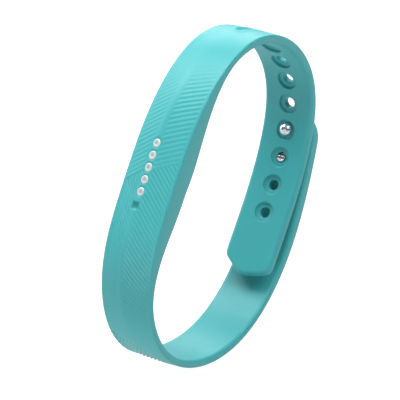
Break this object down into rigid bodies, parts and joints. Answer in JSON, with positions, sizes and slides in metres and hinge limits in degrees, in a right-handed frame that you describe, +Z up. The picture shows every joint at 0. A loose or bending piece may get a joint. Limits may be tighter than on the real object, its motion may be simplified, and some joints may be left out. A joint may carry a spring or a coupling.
{
  "type": "fitness tracker band",
  "caption": "Slim moulded rubber wristband closed into a ring, with a ridged housing, light windows, stud clasp and a tracker in its pocket.",
  "frame": {"origin": "middle of the closed ring, on the axis the wrist passes along", "axes": "+Y along the wrist, across the band's width; +Z up with the ring stood on its rim, display side facing -X and upward, holed strap at +X"},
  "size_m": [0.0634, 0.0112, 0.0642],
  "materials": {
    "teal_rubber": "satin moulded",
    "polished_steel": "polished",
    "brushed_steel": "brushed",
    "white_window": "clear gloss",
    "black_shell": "fine matte",
    "grey_shell": "satin",
    "seal_rubber": "matte",
    "board_green": "solder mask",
    "cell_foil": "foil wrap",
    "foam_grey": "open foam",
    "chip_black": "moulded resin",
    "shield_tin": "tin plate",
    "contact_gold": "gold plate",
    "led_white": "clear lens",
    "weight_tungsten": "sintered",
    "antenna_copper": "copper foil"
  },
  "bodies": {
    "band": {"band_body": "teal_rubber", "light_window_1": "white_window", "light_window_2": "white_window", "light_window_3": "white_window", "light_window_4": "white_window", "light_window_5": "white_window"},
    "clasp": {"clasp_strap": "teal_rubber", "clasp_plate": "brushed_steel", "clasp_stud_ball": "polished_steel", "clasp_stud_pin": "polished_steel"},
    "tracker": {"tracker_top_shell": "black_shell", "tracker_base_shell": "grey_shell", "tracker_seal": "seal_rubber", "charge_contact_1": "contact_gold", "charge_contact_2": "contact_gold", "charge_contact_3": "contact_gold", "battery_pad": "foam_grey", "battery": "cell_foil", "circuit_board": "board_green", "led_1": "led_white", "led_2": "led_white", "led_3": "led_white", "led_4": "led_white", "led_5": "led_white", "light_guide": "white_window", "processor": "chip_black", "radio_chip": "shield_tin", "memory_chip": "chip_black", "motion_sensor": "chip_black", "charge_chip": "chip_black", "crystal": "shield_tin", "antenna": "antenna_copper", "motor_base": "brushed_steel", "motor_cover": "polished_steel"},
    "weight": {"motor_rotor": "weight_tungsten"}
  },
  "joints": [
    {"name": "clasp_flex", "type": "hinge", "parent": "band", "child": "clasp", "pos_m": [0.01943, 0, -0.0176], "axis": [0, 1, 0], "range_deg": [0, 50], "stiffness_Nm_per_rad": 0.0008, "springref_deg": -25.78},
    {"name": "tracker_release", "type": "slide", "parent": "band", "child": "tracker", "axis": [0.8192, 0, -0.5736], "range_m": [0, 0.016]},
    {"name": "motor_spin", "type": "hinge", "parent": "tracker", "child": "weight", "pos_m": [-0.0234, 0, 0.00334], "axis": [-0.8192, 0, 0.5736], "continuous": true}
  ]
}
